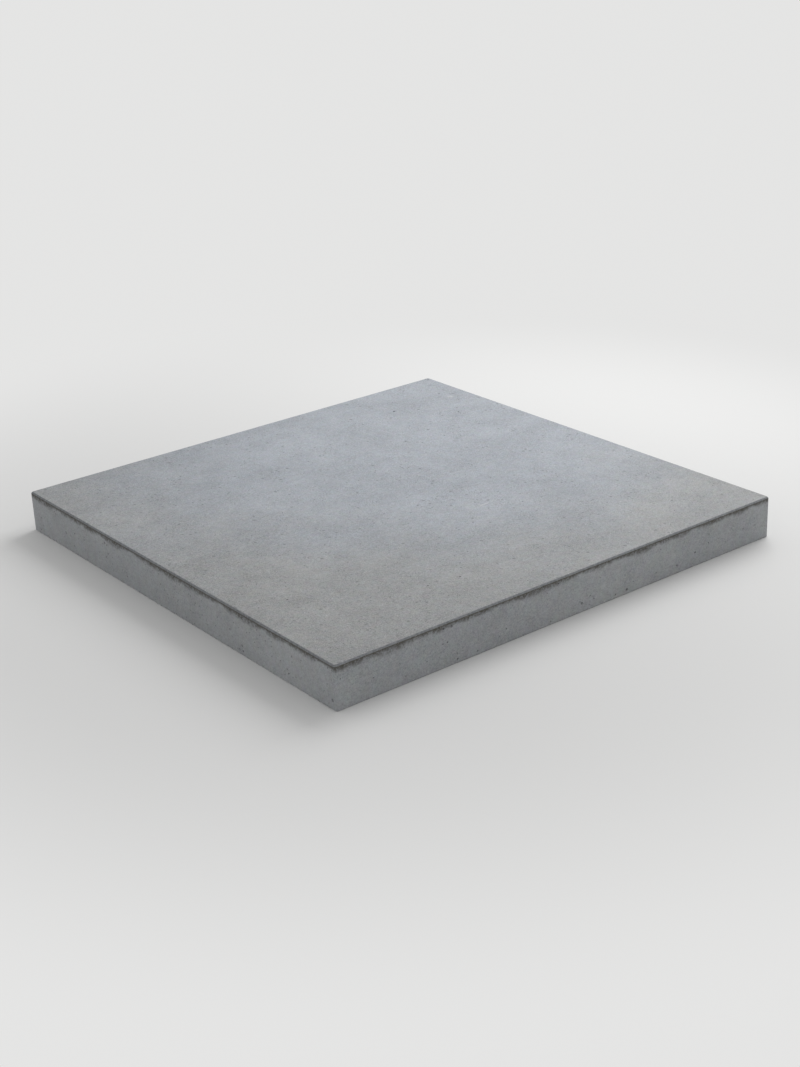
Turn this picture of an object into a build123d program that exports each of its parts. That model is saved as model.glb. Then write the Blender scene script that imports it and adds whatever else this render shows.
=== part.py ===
"""Square large-format concrete paving slab, one solid, as it lies in a terrace.

It is pressed face up in a four-sided steel mould. Its sides are upright, its four upright
corners follow the mould's small corner radius, and a narrow chamfer of even width runs
round the walking face. The underside is flat, with its arris just broken.

Frame: the origin is the centre of the underside, +X and +Y run along the sides, and +Z
points up, out of the walking face. Sizes are in millimetres.
"""

from build123d import *

import os

# Laying grid: one slab and one joint fill this rectangle
module_length = 1000.0
module_width = 1000.0
joint_width = 6.0

# Slab
thickness = 80.0
chamfer_width = 3.0
chamfer_depth = 3.0
walking_face_corner_radius = 2.0
underside_arris = 1.0

# Worked out from the sizes above
slab_length = module_length - joint_width
slab_width = module_width - joint_width
corner_radius = walking_face_corner_radius + chamfer_width

with BuildPart() as slab:
    # Body: the mould's outline, filled to the slab's thickness
    with BuildSketch(Plane.XY):
        RectangleRounded(slab_length, slab_width, corner_radius)
    extrude(amount=thickness)
    faces_upward = slab.faces().sort_by(Axis.Z)
    underside = faces_upward[0]
    walking_face = faces_upward[-1]

    # Chamfer of even width, carried round the four corners of the walking face
    chamfer(
        walking_face.outer_wire().edges(),
        length=chamfer_width,
        length2=chamfer_depth,
        reference=walking_face,
    )

    # Arris broken where the concrete lay on the mould's base plate
    chamfer(underside.outer_wire().edges(), length=underside_arris)

slab.part.label = "slab"

os.makedirs("parts", exist_ok=True)
export_step(slab.part, "parts/slab.step")
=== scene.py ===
"""Looks of a square large-format concrete paving slab.

One closed mesh stands for the slab's solid. It keeps the solid's outline, chamfer and
arrises, and adds what concrete has and the solid leaves out: faces that are not quite
flat, arrises worn by handling, and air voids open to each face. Three finishes cover it:
the walking face, the faces struck from the mould, and the face that lay on its base plate.

Lengths are in metres. The origin is the centre of the underside, +X and +Y run along the
sides, and +Z points up, out of the walking face.
"""

from __future__ import annotations

import logging
import math
from collections.abc import Sequence
from dataclasses import dataclass, field
from enum import Enum

import bpy
import numpy as np
from mathutils import Matrix, Vector

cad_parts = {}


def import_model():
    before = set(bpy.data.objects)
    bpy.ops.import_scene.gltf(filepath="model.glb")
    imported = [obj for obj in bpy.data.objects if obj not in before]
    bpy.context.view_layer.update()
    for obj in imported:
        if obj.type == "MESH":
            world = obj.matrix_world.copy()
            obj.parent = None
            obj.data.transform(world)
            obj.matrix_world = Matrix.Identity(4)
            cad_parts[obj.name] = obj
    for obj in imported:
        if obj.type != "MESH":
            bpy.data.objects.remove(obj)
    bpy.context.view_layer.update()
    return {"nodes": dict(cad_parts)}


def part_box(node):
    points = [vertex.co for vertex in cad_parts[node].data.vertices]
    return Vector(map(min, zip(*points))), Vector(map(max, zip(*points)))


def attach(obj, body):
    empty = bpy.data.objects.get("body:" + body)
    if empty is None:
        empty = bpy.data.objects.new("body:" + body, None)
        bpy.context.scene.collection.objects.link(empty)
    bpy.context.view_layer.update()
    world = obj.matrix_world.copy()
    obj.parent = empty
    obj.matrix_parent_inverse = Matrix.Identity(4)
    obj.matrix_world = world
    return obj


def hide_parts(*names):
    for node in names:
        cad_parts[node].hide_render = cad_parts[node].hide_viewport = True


log = logging.getLogger("paving_slab")

MM = 0.001
SEED = 20
SIDES = 4
UPRIGHT = math.pi / 2
FULL_TURN = 2 * math.pi
HOLLOW = "hollow"

Colour = tuple[float, float, float]
Point = tuple[float, float, float]
Place = tuple[float, float]
Socket = bpy.types.NodeSocket
Outputs = bpy.types.NodeOutputs
Feed = float | tuple[float, ...] | Socket
Feeds = dict[str | int, Feed]


class Face(Enum):
    """The kinds of face on the slab, by the number of their material slot."""

    WALKING = 0
    MOULDED = 1
    BASE = 2


@dataclass(frozen=True)
class SlabSizes:
    """Sizes of the slab: the overall ones of its solid, and those that the mould gives it."""

    length: float
    width: float
    thickness: float
    corner_radius: float = 5 * MM
    chamfer_width: float = 3 * MM
    chamfer_depth: float = 3 * MM
    base_arris: float = 1 * MM

    @classmethod
    def of_solid(cls, node: str) -> SlabSizes:
        """Read the overall sizes from the box of the named solid."""
        low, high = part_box(node)
        return cls(*(high - low))


class Unevenness:
    """How far a face's points lie inside the face's true plane.

    The distance is half the greatest one, times one plus a sum of plane waves. Every wave
    has a direction, length and phase of its own, and the heights of the waves add up to
    one, so that no point lies outside the plane.
    """

    def __init__(self, greatest: float, draw: np.random.Generator) -> None:
        """Draw the waves.

        Args:
            greatest: The greatest distance inside the plane.
            draw: The source of random numbers.
        """
        waves, shortest, longest = 14, 0.07, 0.60
        headings = draw.normal(size=(waves, 3))
        headings /= np.linalg.norm(headings, axis=1, keepdims=True)
        lengths = np.geomspace(shortest, longest, waves)
        self._greatest = greatest
        self._turns = FULL_TURN * headings / lengths[:, None]
        self._phases = draw.uniform(0, FULL_TURN, waves)
        self._heights = lengths / lengths.sum()

    def at(self, points: np.ndarray) -> np.ndarray:
        """Work out the distance for each point, whose coordinates run along the last axis."""
        waves = np.sin(points @ self._turns.T + self._phases)
        return self._greatest / 2 * (1 + waves @ self._heights)


class Shell:
    """One closed surface, gathered patch by patch.

    Patches share the point numbers of their common borders, so the surface has no seam.
    """

    def __init__(self) -> None:
        """Start with no points and no triangles."""
        self._points: list[np.ndarray] = []
        self._hollows: list[np.ndarray] = []
        self._rims: list[np.ndarray] = []
        self._triangles: list[np.ndarray] = []
        self._faces: list[np.ndarray] = []
        self._count = 0

    @property
    def triangle_count(self) -> int:
        """The number of triangles so far."""
        return sum(len(block) for block in self._triangles)

    def add_points(self, points: np.ndarray, hollow: float = 0.0, rim: bool = False) -> np.ndarray:
        """Take in points.

        Args:
            points: Coordinates along the last axis.
            hollow: How deep the points lie in an air void, from 0 at its rim to 1.
            rim: Whether the points are the rims of air voids.

        Returns:
            The points' numbers, shaped as the points are.
        """
        shape = points.shape[:-1]
        size = int(np.prod(shape))
        numbers = self._count + np.arange(size).reshape(shape)
        self._points.append(points.reshape(size, 3))
        self._hollows.append(np.full(size, hollow))
        self._rims.append(np.full(size, rim))
        self._count += size
        return numbers

    def add_faces(self, corners: Sequence[np.ndarray], face: Face) -> None:
        """Take in three-cornered faces, or four-cornered ones as pairs of triangles.

        Args:
            corners: Numbers of the first corners, of the second ones and so on, which run
                counter-clockwise seen from outside.
            face: The kind of face that they belong to.
        """
        first, *others = corners
        for second, third in zip(others, others[1:]):
            block = np.stack(np.broadcast_arrays(first, second, third), axis=-1).reshape(-1, 3)
            self._triangles.append(block)
            self._faces.append(np.full(len(block), face.value))

    def join_rings(self, rings: np.ndarray, face: Face) -> None:
        """Join closed rings that have as many points each, from the top ring down.

        Args:
            rings: Point numbers by ring and column, counter-clockwise from above.
            face: The kind of face between them.
        """
        upper, lower = rings[:-1], rings[1:]
        upper_next, lower_next = np.roll(upper, -1, axis=1), np.roll(lower, -1, axis=1)
        self.add_faces([lower, lower_next, upper_next, upper], face)

    def join_loops(
        self,
        fine: np.ndarray,
        coarse: np.ndarray,
        stations: np.ndarray,
        face: Face,
        coarse_first: bool = False,
    ) -> None:
        """Join two closed loops, one of them with more points than the other.

        Each step of the fine loop makes a triangle with its station on the coarse loop, and
        where the station changes, a second triangle fills the step of the coarse loop.

        Args:
            fine: Numbers of the fine loop's points, counter-clockwise from above.
            coarse: Numbers of the coarse loop's points, the same way round.
            stations: The place on the coarse loop for each point of the fine one.
            face: The kind of face between them.
            coarse_first: Whether the coarse loop comes first on the way from the middle of
                the top, down the sides, to the middle of the underside.
        """
        fine_next = np.roll(fine, -1)
        at, at_next = coarse[stations], coarse[np.roll(stations, -1)]
        moves = at != at_next
        way_round = 1 if coarse_first else -1
        self.add_faces([fine, fine_next, at][::way_round], face)
        self.add_faces([fine_next[moves], at_next[moves], at[moves]][::way_round], face)

    def mesh(self, name: str) -> bpy.types.Mesh:
        """Make the mesh, smooth but for the rims of air voids.

        Args:
            name: The mesh's name.

        Returns:
            The mesh. How deep its points lie in an air void is the attribute named HOLLOW.
        """
        points = np.concatenate(self._points).astype(np.float32)
        triangles = np.concatenate(self._triangles).astype(np.int32)
        corners = triangles.size
        mesh = bpy.data.meshes.new(name)
        mesh.vertices.add(len(points))
        mesh.vertices.foreach_set("co", points.ravel())
        mesh.loops.add(corners)
        mesh.loops.foreach_set("vertex_index", triangles.ravel())
        mesh.polygons.add(len(triangles))
        mesh.polygons.foreach_set("loop_start", np.arange(0, corners, 3, dtype=np.int32))
        mesh.polygons.foreach_set("material_index", np.concatenate(self._faces).astype(np.int32))
        mesh.update(calc_edges=True)
        mesh.shade_smooth()

        hollow = mesh.attributes.new(HOLLOW, "FLOAT", "POINT")
        hollow.data.foreach_set("value", np.concatenate(self._hollows).astype(np.float32))
        ends = np.empty(2 * len(mesh.edges), np.int32)
        mesh.edges.foreach_get("vertices", ends)
        on_rim = np.concatenate(self._rims)[ends.reshape(-1, 2)].all(axis=1)
        sharp = mesh.attributes.new("sharp_edge", "BOOLEAN", "EDGE")
        sharp.data.foreach_set("value", on_rim)
        return mesh


@dataclass(frozen=True)
class VoidFamily:
    """Air voids of one family: bowls open to the face, round to oval, with ragged rims.

    Each step down a bowl gives its share of the rim's spread and of the whole depth.
    """

    per_square_metre: float
    middle_width: float
    spread: float
    widest: float
    depth_to_width: float
    rim_points: int = 8
    narrowest: float = 0.8 * MM
    steps: tuple[tuple[float, float], ...] = ((0.80, 0.62), (0.42, 0.94))

    def draw_widths(self, count: int, draw: np.random.Generator) -> np.ndarray:
        """Draw so many widths with normally distributed logarithms, within the limits."""
        widths = self.middle_width * np.exp(self.spread * draw.normal(size=count))
        return np.clip(widths, self.narrowest, self.widest)


@dataclass(frozen=True)
class PlacedVoid:
    """An air void that the photograph shows at a place of its own."""

    place: Place
    width: float
    depth_to_width: float = 0.75

    @property
    def family(self) -> VoidFamily:
        """A family of nothing but this void."""
        return VoidFamily(
            per_square_metre=0.0,
            middle_width=self.width,
            spread=0.0,
            widest=self.width,
            depth_to_width=self.depth_to_width,
            rim_points=16,
        )


@dataclass(frozen=True)
class Sheet:
    """A face laid out as a grid of knots, with the numbers of its points in the shell.

    Seen from outside, the second axis turns counter-clockwise from the first.
    """

    shell: Shell
    face: Face
    at: np.ndarray
    numbers: np.ndarray

    def lay(
        self,
        families: Sequence[VoidFamily],
        draw: np.random.Generator,
        allowed: np.ndarray | None = None,
        placed: Sequence[PlacedVoid] = (),
    ) -> None:
        """Fill the grid's cells: plain ones with a quad, chosen ones with an air void.

        Args:
            families: The families of voids, largest first. A cell holds one void at most.
            draw: The source of random numbers.
            allowed: Which cells may hold a void, or None for all.
            placed: Voids at places of their own, each in a cell apart.
        """
        shape = (self.numbers.shape[0] - 1, self.numbers.shape[1] - 1)
        taken = [self._cell_at(void.place) for void in placed]
        free = np.arange(shape[0] * shape[1])
        if allowed is not None:
            free = free[allowed.ravel()]
        free = draw.permutation(np.setdiff1d(free, taken))
        area = self._cell_area() * shape[0] * shape[1]
        chosen = [(void.family, np.array([cell])) for void, cell in zip(placed, taken)]
        for family in families:
            count = min(round(family.per_square_metre * area), len(free))
            chosen.append((family, free[:count]))
            free = free[count:]
        plain = np.ones(shape, bool)
        for family, cells in chosen:
            first, second = np.unravel_index(cells, shape)
            plain[first, second] = False
            self._lay_voids(family, first, second, draw)
        self.shell.add_faces(self._corner_numbers(*np.nonzero(plain)), self.face)

    def _cell_at(self, place: Place) -> int:
        """The number of the cell whose middle lies nearest to a place in X and Y."""
        middles = (self.at[:-1, :-1, :2] + self.at[1:, 1:, :2]) / 2
        return int(np.linalg.norm(middles - place, axis=-1).argmin())

    def _cell_area(self) -> float:
        """The mean area of a cell."""
        steps = (np.diff(self.at, axis=axis) for axis in (0, 1))
        return float(math.prod(np.linalg.norm(step, axis=-1).mean() for step in steps))

    def _corner_numbers(self, first: np.ndarray, second: np.ndarray) -> list[np.ndarray]:
        """The point numbers of the cells' corners, counter-clockwise."""
        steps = ((0, 0), (1, 0), (1, 1), (0, 1))
        return [self.numbers[first + i, second + j] for i, j in steps]

    def _lay_voids(
        self,
        family: VoidFamily,
        first: np.ndarray,
        second: np.ndarray,
        draw: np.random.Generator,
    ) -> None:
        """Lay one void in each chosen cell.

        A void is a function of two parameters, the step down its bowl and the angle round
        it. The rim's radius swells and shrinks with twice and three times the angle, and
        each step is the rim shrunk towards a bottom that lies off centre.

        Args:
            family: The family that the voids are drawn from.
            first: The cells' places along the first axis.
            second: The cells' places along the second axis.
            draw: The source of random numbers.
        """
        most_of_cell, reach, stray = 0.94, 1.26, 0.75
        swells, off_centre, depth_range = ((2, 0.18), (3, 0.08)), 0.12, (0.7, 1.3)
        angle_of_first_corner = -0.75 * math.pi

        count = len(first)
        origin = self.at[first, second]
        along = self.at[first + 1, second] - origin
        across = self.at[first, second + 1] - origin
        inward = -np.cross(along, across)
        inward /= np.linalg.norm(inward, axis=1, keepdims=True)
        lengths = np.stack([np.linalg.norm(along, axis=1), np.linalg.norm(across, axis=1)], -1)

        room = most_of_cell * lengths.min(axis=1)
        widths = np.minimum(family.draw_widths(count, draw), room / reach)
        slack = (lengths - widths[:, None] * reach) / 2
        centre = lengths / 2 + slack * draw.uniform(-stray, stray, (count, 2))

        angle = angle_of_first_corner + FULL_TURN * np.arange(family.rim_points) / family.rim_points
        swell = sum(
            draw.uniform(0, size, (count, 1))
            * np.cos(turns * angle + draw.uniform(0, FULL_TURN, (count, 1)))
            for turns, size in swells
        )
        radius = widths[:, None] / 2 * (1 + swell)
        rim = radius[..., None] * np.stack([np.cos(angle), np.sin(angle)], -1)
        bottom = widths[:, None] * draw.uniform(-off_centre, off_centre, (count, 2))
        depth = widths * family.depth_to_width * draw.uniform(*depth_range, count)

        def place(spread: np.ndarray, sunk: np.ndarray) -> np.ndarray:
            """Turn distances along, across and below the cell into points."""
            shares = spread / lengths[:, None]
            return (
                origin[:, None]
                + shares[..., :1] * along[:, None]
                + shares[..., 1:] * across[:, None]
                + sunk[:, None, None] * inward[:, None]
            )

        middle = centre[:, None]
        rings = [self.shell.add_points(place(middle + rim, 0 * depth), rim=True)]
        for shrunk, sunk in family.steps:
            spread = middle + shrunk * rim + (1 - shrunk) * bottom[:, None]
            rings.append(self.shell.add_points(place(spread, sunk * depth), hollow=sunk))
        lowest = self.shell.add_points(place(middle + bottom[:, None], depth), hollow=1.0)

        self._lay_surround(rings[0], self._corner_numbers(first, second))
        for outer, inner in zip(rings, rings[1:]):
            outer_next, inner_next = np.roll(outer, -1, axis=1), np.roll(inner, -1, axis=1)
            self.shell.add_faces([outer, outer_next, inner_next, inner], self.face)
        self.shell.add_faces([rings[-1], np.roll(rings[-1], -1, axis=1), lowest], self.face)

    def _lay_surround(self, rim: np.ndarray, corners: Sequence[np.ndarray]) -> None:
        """Join the rims of voids to the corners of their cells.

        The rim's points fall into four quarters, one for each side of the cell. Half of a
        quarter fans out to the side's first corner and half to its second.

        Args:
            rim: Numbers of the rims' points, one row for each void.
            corners: Numbers of the four corners of each cell.
        """
        rim_points = rim.shape[1]
        quarter = rim_points // SIDES
        half = quarter // 2
        for side in range(SIDES):
            first, second = corners[side], corners[(side + 1) % SIDES]
            steps = [(side * quarter + step) % rim_points for step in range(quarter + 1)]
            for step, (near, far) in enumerate(zip(steps, steps[1:])):
                corner = first if step < half else second
                self.shell.add_faces([rim[:, far], rim[:, near], corner], self.face)
            self.shell.add_faces([first, second, rim[:, steps[half]]], self.face)


@dataclass
class Outline:
    """The path round the slab, counter-clockwise from above, cut into columns.

    Every side gives the columns of its straight run, at even steps, and then those
    between the ends of the corner that follows it, at even angles. A column is a foot on
    the corner circles' square, and a direction that points out of the slab from there.
    """

    sizes: SlabSizes
    steps: tuple[int, ...]
    corner_steps: int
    feet: np.ndarray = field(init=False, repr=False)
    outward: np.ndarray = field(init=False, repr=False)
    side: np.ndarray = field(init=False, repr=False)
    share: np.ndarray = field(init=False, repr=False)
    arc: np.ndarray = field(init=False, repr=False)

    def __post_init__(self) -> None:
        """Work out the columns."""
        half = np.array([self.sizes.length, self.sizes.width]) / 2 - self.sizes.corner_radius
        centres = half * np.array([(-1, -1), (1, -1), (1, 1), (-1, 1)])
        shares, arcs, sides = [], [], []
        for side, steps in enumerate(self.steps):
            shares += [np.linspace(0, 1, steps + 1), np.ones(self.corner_steps - 1)]
            arcs += [np.zeros(steps + 1, int), np.arange(1, self.corner_steps)]
            sides.append(np.full(steps + self.corner_steps, side))
        self.share, self.arc, self.side = map(np.concatenate, (shares, arcs, sides))
        start, end = centres[self.side], centres[(self.side + 1) % SIDES]
        angle = UPRIGHT * (self.side - 1 + self.arc / self.corner_steps)
        self.feet = start + (end - start) * self.share[:, None]
        self.outward = np.stack([np.cos(angle), np.sin(angle)], -1)

    def carry(self, inset: np.ndarray, height: np.ndarray) -> np.ndarray:
        """Carry a profile along the path.

        Args:
            inset: How far each point of the profile lies inside the slab's sides.
            height: The height of each point of the profile.

        Returns:
            Points by profile point and column. Each is the column's foot, moved outwards
            by the corner radius less the inset, at the profile's height.
        """
        reach = self.sizes.corner_radius - inset[:, None, None]
        level = self.feet + reach * self.outward
        heights = np.broadcast_to(height[:, None, None], (*level.shape[:2], 1))
        return np.concatenate([level, heights], axis=-1)

    def lean(self, tilt: np.ndarray) -> np.ndarray:
        """Work out the faces' directions along a profile.

        Args:
            tilt: The angle from straight up to each profile point's outward direction.

        Returns:
            Unit vectors by profile point and column.
        """
        level = np.sin(tilt)[:, None, None] * self.outward
        upward = np.broadcast_to(np.cos(tilt)[:, None, None], (*level.shape[:2], 1))
        return np.concatenate([level, upward], axis=-1)

    def stations(self, steps: Sequence[int], corner_steps: int = 0) -> np.ndarray:
        """Match each column with a point of a coarser loop.

        Args:
            steps: The coarser loop's steps along each side.
            corner_steps: The coarser loop's steps round a corner, 0 for a sharp corner.

        Returns:
            The place on the coarser loop for each column.
        """
        ends = np.cumsum([0, *(count + corner_steps for count in steps)])
        counts = np.asarray(steps)[self.side]
        arc = self.arc if corner_steps else 0
        place = ends[self.side] + np.rint(self.share * counts).astype(int) + arc
        return place % ends[-1]


def border(numbers: np.ndarray) -> np.ndarray:
    """List the border of a grid.

    Args:
        numbers: Point numbers by place along X and place along Y.

    Returns:
        The border's numbers, counter-clockwise from above, from the corner at least X and Y.
    """
    return np.concatenate(
        [numbers[:-1, 0], numbers[-1, :-1], numbers[:0:-1, -1], numbers[0, :0:-1]]
    )


@dataclass(frozen=True)
class Profile:
    """Points of a section through the slab's edge, with the direction of each.

    The wear is each point's share of a nick's depth, and the cut is the direction that a
    nick is cut from. Both directions are angles from straight up.
    """

    inset: np.ndarray
    height: np.ndarray
    tilt: np.ndarray
    wear: np.ndarray
    cut: np.ndarray


@dataclass
class ConcreteSlab:
    """The slab: its faces, its chamfer, its arrises and its finishes."""

    sizes: SlabSizes
    cell: float = 8.9 * MM
    base_cell: float = 17.5 * MM
    columns_per_cell: int = 3
    corner_steps: int = 6
    face_border: float = 6 * MM
    side_border: float = 1.5 * MM
    arris_radius: float = 0.6 * MM
    arris_steps: int = 3
    arris_guard: float = 0.5 * MM
    unevenness: float = 0.35 * MM
    crumbling: float = 0.30 * MM
    chip_count: int = 12
    chip_half_widths: tuple[float, float] = (1.5 * MM, 4.5 * MM)
    deepest_chip: float = 0.6 * MM
    walking_voids: tuple[VoidFamily, ...] = (
        VoidFamily(
            per_square_metre=34,
            middle_width=2.8 * MM,
            spread=0.22,
            widest=4.2 * MM,
            depth_to_width=0.30,
            rim_points=16,
        ),
        VoidFamily(
            per_square_metre=520,
            middle_width=1.5 * MM,
            spread=0.28,
            widest=2.6 * MM,
            depth_to_width=0.40,
        ),
    )
    side_voids: tuple[VoidFamily, ...] = (
        VoidFamily(
            per_square_metre=160,
            middle_width=4.2 * MM,
            spread=0.30,
            widest=6.2 * MM,
            depth_to_width=0.40,
            rim_points=16,
        ),
        VoidFamily(
            per_square_metre=620,
            middle_width=2.3 * MM,
            spread=0.40,
            widest=4.5 * MM,
            depth_to_width=0.50,
        ),
    )
    photo_voids: tuple[PlacedVoid, ...] = (
        PlacedVoid(place=(0.294, 0.368), width=5.4 * MM),
        PlacedVoid(place=(0.397, 0.268), width=3.8 * MM),
        PlacedVoid(place=(0.363, 0.289), width=3.6 * MM),
        PlacedVoid(place=(0.449, 0.333), width=3.6 * MM),
    )
    base_voids: tuple[VoidFamily, ...] = (
        VoidFamily(
            per_square_metre=70,
            middle_width=7.0 * MM,
            spread=0.30,
            widest=12.0 * MM,
            depth_to_width=0.28,
            rim_points=16,
        ),
        VoidFamily(
            per_square_metre=190,
            middle_width=4.0 * MM,
            spread=0.35,
            widest=8.0 * MM,
            depth_to_width=0.35,
        ),
    )
    shell: Shell = field(init=False, repr=False, default_factory=Shell)
    draw: np.random.Generator = field(init=False, repr=False)
    uneven: Unevenness = field(init=False, repr=False)

    def __post_init__(self) -> None:
        """Start the random draws with the unevenness."""
        self.draw = np.random.default_rng(SEED)
        self.uneven = Unevenness(self.unevenness, self.draw)

    def build(self, name: str) -> bpy.types.Object:
        """Build the slab's closed mesh.

        Args:
            name: The piece's name.

        Returns:
            The piece, at the origin, with its place in its mesh.
        """
        shell = self.shell
        steps, base_steps = self._steps(self.cell), self._steps(self.base_cell)
        fine_steps = tuple(self.columns_per_cell * count for count in steps)
        fine = Outline(self.sizes, fine_steps, self.corner_steps)
        coarse = Outline(self.sizes, steps, self.corner_steps)

        top = self._flat_face(Face.WALKING, steps, self.sizes.thickness)
        top.lay(self.walking_voids, self.draw, placed=self.photo_voids)

        chamfer = self._chamfer(fine)
        stations = fine.stations(steps)
        shell.join_loops(chamfer[0], border(top.numbers), stations, Face.WALKING, coarse_first=True)
        sides = self._sides(coarse)
        stations = fine.stations(steps, self.corner_steps)
        shell.join_loops(chamfer[-1], sides.numbers[:-1, -1], stations, Face.MOULDED)
        straight = np.repeat((coarse.arc == 0) & (coarse.share < 1), sides.numbers.shape[1] - 1)
        sides.lay(self.side_voids, self.draw, allowed=straight)

        arris = self._base_arris(coarse, sides.numbers[:-1, 0])
        base = self._flat_face(Face.BASE, base_steps, 0.0)
        shell.join_loops(arris, border(base.numbers.T), coarse.stations(base_steps), Face.BASE)
        base.lay(self.base_voids, self.draw)

        piece = put(name, shell.mesh(name))
        log.info("%s: %d triangles", name, shell.triangle_count)
        return piece

    def dress(self, piece: bpy.types.Object, finishes: dict[Face, bpy.types.Material]) -> None:
        """Give each kind of face its finish.

        Args:
            piece: The slab's piece.
            finishes: A material for each kind of face.
        """
        for face in Face:
            piece.data.materials.append(finishes[face])
            log.info("%s: %s is %s", piece.name, face.name.lower(), finishes[face].name)

    def _steps(self, cell: float) -> tuple[int, ...]:
        """The cells of a size along each side, going round."""
        run = 2 * (self.sizes.chamfer_width + self.face_border)
        return tuple(round((size - run) / cell) for size in (self.sizes.length, self.sizes.width) * 2)

    def _flat_face(self, face: Face, steps: Sequence[int], height: float) -> Sheet:
        """Lay out the knots of the walking face or the underside.

        Args:
            face: The kind of face.
            steps: The cells along each side.
            height: The face's height, 0 for the underside.

        Returns:
            The knots: an even grid in X and Y, at the face's height less or plus the
            unevenness. The underside's grid runs along Y first, because it looks down.
        """
        is_top = height > 0
        run = self.sizes.chamfer_width + self.face_border
        half_x, half_y = self.sizes.length / 2 - run, self.sizes.width / 2 - run
        x = np.linspace(-half_x, half_x, steps[0] + 1)
        y = np.linspace(-half_y, half_y, steps[1] + 1)
        grid_x, grid_y = np.meshgrid(x, y, indexing="ij" if is_top else "xy")
        knots = np.stack([grid_x, grid_y, np.full_like(grid_x, height)], -1)
        knots[..., 2] += (-1 if is_top else 1) * self.uneven.at(knots)
        return Sheet(self.shell, face, knots, self.shell.add_points(knots))

    def _carry(
        self, outline: Outline, inset: np.ndarray, height: np.ndarray, tilt: np.ndarray
    ) -> np.ndarray:
        """Carry a profile round the slab and sink it by the unevenness.

        Args:
            outline: The path round the slab.
            inset: How far each point of the profile lies inside the slab's sides.
            height: The height of each point of the profile.
            tilt: The angle from straight up to each point's outward direction.

        Returns:
            Points by profile point and column.
        """
        points = outline.carry(inset, height)
        return points - outline.lean(tilt) * self.uneven.at(points)[..., None]

    def _chamfer_profile(self) -> Profile:
        """Work out the section of the chamfer.

        Returns:
            The profile from the walking face down: a guard point on the face, an arc that
            turns from level to the slope, an arc that turns from the slope to upright,
            and a guard point on the side. Each arc touches the lines that it joins.
        """
        face_wear, side_wear = 0.15, 0.10
        upper_wear, upper_crest = 0.40, 0.60
        lower_wear, lower_crest = 0.15, 0.25

        width, depth, radius = self.sizes.chamfer_width, self.sizes.chamfer_depth, self.arris_radius
        slope = math.atan2(depth, width)
        upper = np.linspace(0, slope, self.arris_steps + 1)
        lower = np.linspace(slope, UPRIGHT, self.arris_steps + 1)
        reach_upper = radius * math.tan(slope / 2)
        reach_lower = radius * math.tan((UPRIGHT - slope) / 2)
        inset = np.concatenate(
            [
                [width + reach_upper + self.arris_guard],
                width + reach_upper - radius * np.sin(upper),
                radius * (1 - np.sin(lower)),
                [0.0],
            ]
        )
        drop = np.concatenate(
            [
                [0.0],
                radius * (1 - np.cos(upper)),
                depth + reach_lower - radius * np.cos(lower),
                [depth + reach_lower + self.arris_guard],
            ]
        )
        tilt = np.concatenate([[0.0], upper, lower, [UPRIGHT]])
        on_upper = upper_wear + upper_crest * np.sin(math.pi * upper / slope)
        on_lower = lower_wear + lower_crest * np.sin(math.pi * (lower - slope) / (UPRIGHT - slope))
        wear = np.concatenate([[face_wear], on_upper, on_lower, [side_wear]])
        is_upper = np.arange(len(tilt)) < self.arris_steps + 2
        cut = np.where(is_upper, slope, slope + UPRIGHT) / 2
        return Profile(inset, self.sizes.thickness - drop, tilt, wear, cut)

    def _nicks(self, outline: Outline) -> np.ndarray:
        """Draw how deeply the upper arris is worn.

        Args:
            outline: The path round the slab.

        Returns:
            A depth for each column: fine crumbling, smoothed over three columns, and a few
            chips, each a bell curve of the distance along the path. It stays under the
            arris's radius.
        """
        deepest = 0.85 * self.arris_radius
        count = len(outline.share)
        rough = self.draw.random(count) ** 2
        rough = (rough + np.roll(rough, 1) + np.roll(rough, -1)) / 3
        step = self.cell / self.columns_per_cell
        path = step * np.arange(count)
        each_chip = (self.chip_count, 1)
        middle = self.draw.uniform(0, path[-1], each_chip)
        half_width = self.draw.uniform(*self.chip_half_widths, each_chip)
        depth = self.deepest_chip * self.draw.random(each_chip) ** 2
        chips = depth * np.exp(-(((path - middle) / half_width) ** 2))
        return np.minimum(self.crumbling * rough + chips.max(axis=0), deepest)

    def _chamfer(self, outline: Outline) -> np.ndarray:
        """Carry the chamfer's section round the slab, and wear its upper arris.

        Args:
            outline: The path round the slab.

        Returns:
            Point numbers by ring and column, from the walking face down.
        """
        profile = self._chamfer_profile()
        wear = profile.wear[:, None] * self._nicks(outline)
        points = self._carry(outline, profile.inset, profile.height, profile.tilt)
        rings = self.shell.add_points(points - outline.lean(profile.cut) * wear[..., None])
        on_top = self.arris_steps // 2 + 2
        self.shell.join_rings(rings[:on_top], Face.WALKING)
        self.shell.join_rings(rings[on_top - 1 :], Face.MOULDED)
        return rings

    def _sides(self, outline: Outline) -> Sheet:
        """Lay out the knots of the four sides and the corners between them.

        Args:
            outline: The path round the slab.

        Returns:
            The knots by column and height, with the first column again at the end.
        """
        edge = self.arris_radius + self.arris_guard + self.side_border
        low = self.sizes.base_arris + edge
        high = self.sizes.thickness - self.sizes.chamfer_depth - edge
        rows = round((high - low) / self.cell)
        height = np.linspace(low, high, rows + 1)
        points = self._carry(outline, np.zeros(rows + 1), height, np.full(rows + 1, UPRIGHT))
        numbers = self.shell.add_points(points)
        wrapped = np.concatenate([points, points[:, :1]], axis=1)
        wrapped_numbers = np.concatenate([numbers, numbers[:, :1]], axis=1)
        return Sheet(self.shell, Face.MOULDED, wrapped.swapaxes(0, 1), wrapped_numbers.T)

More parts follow.
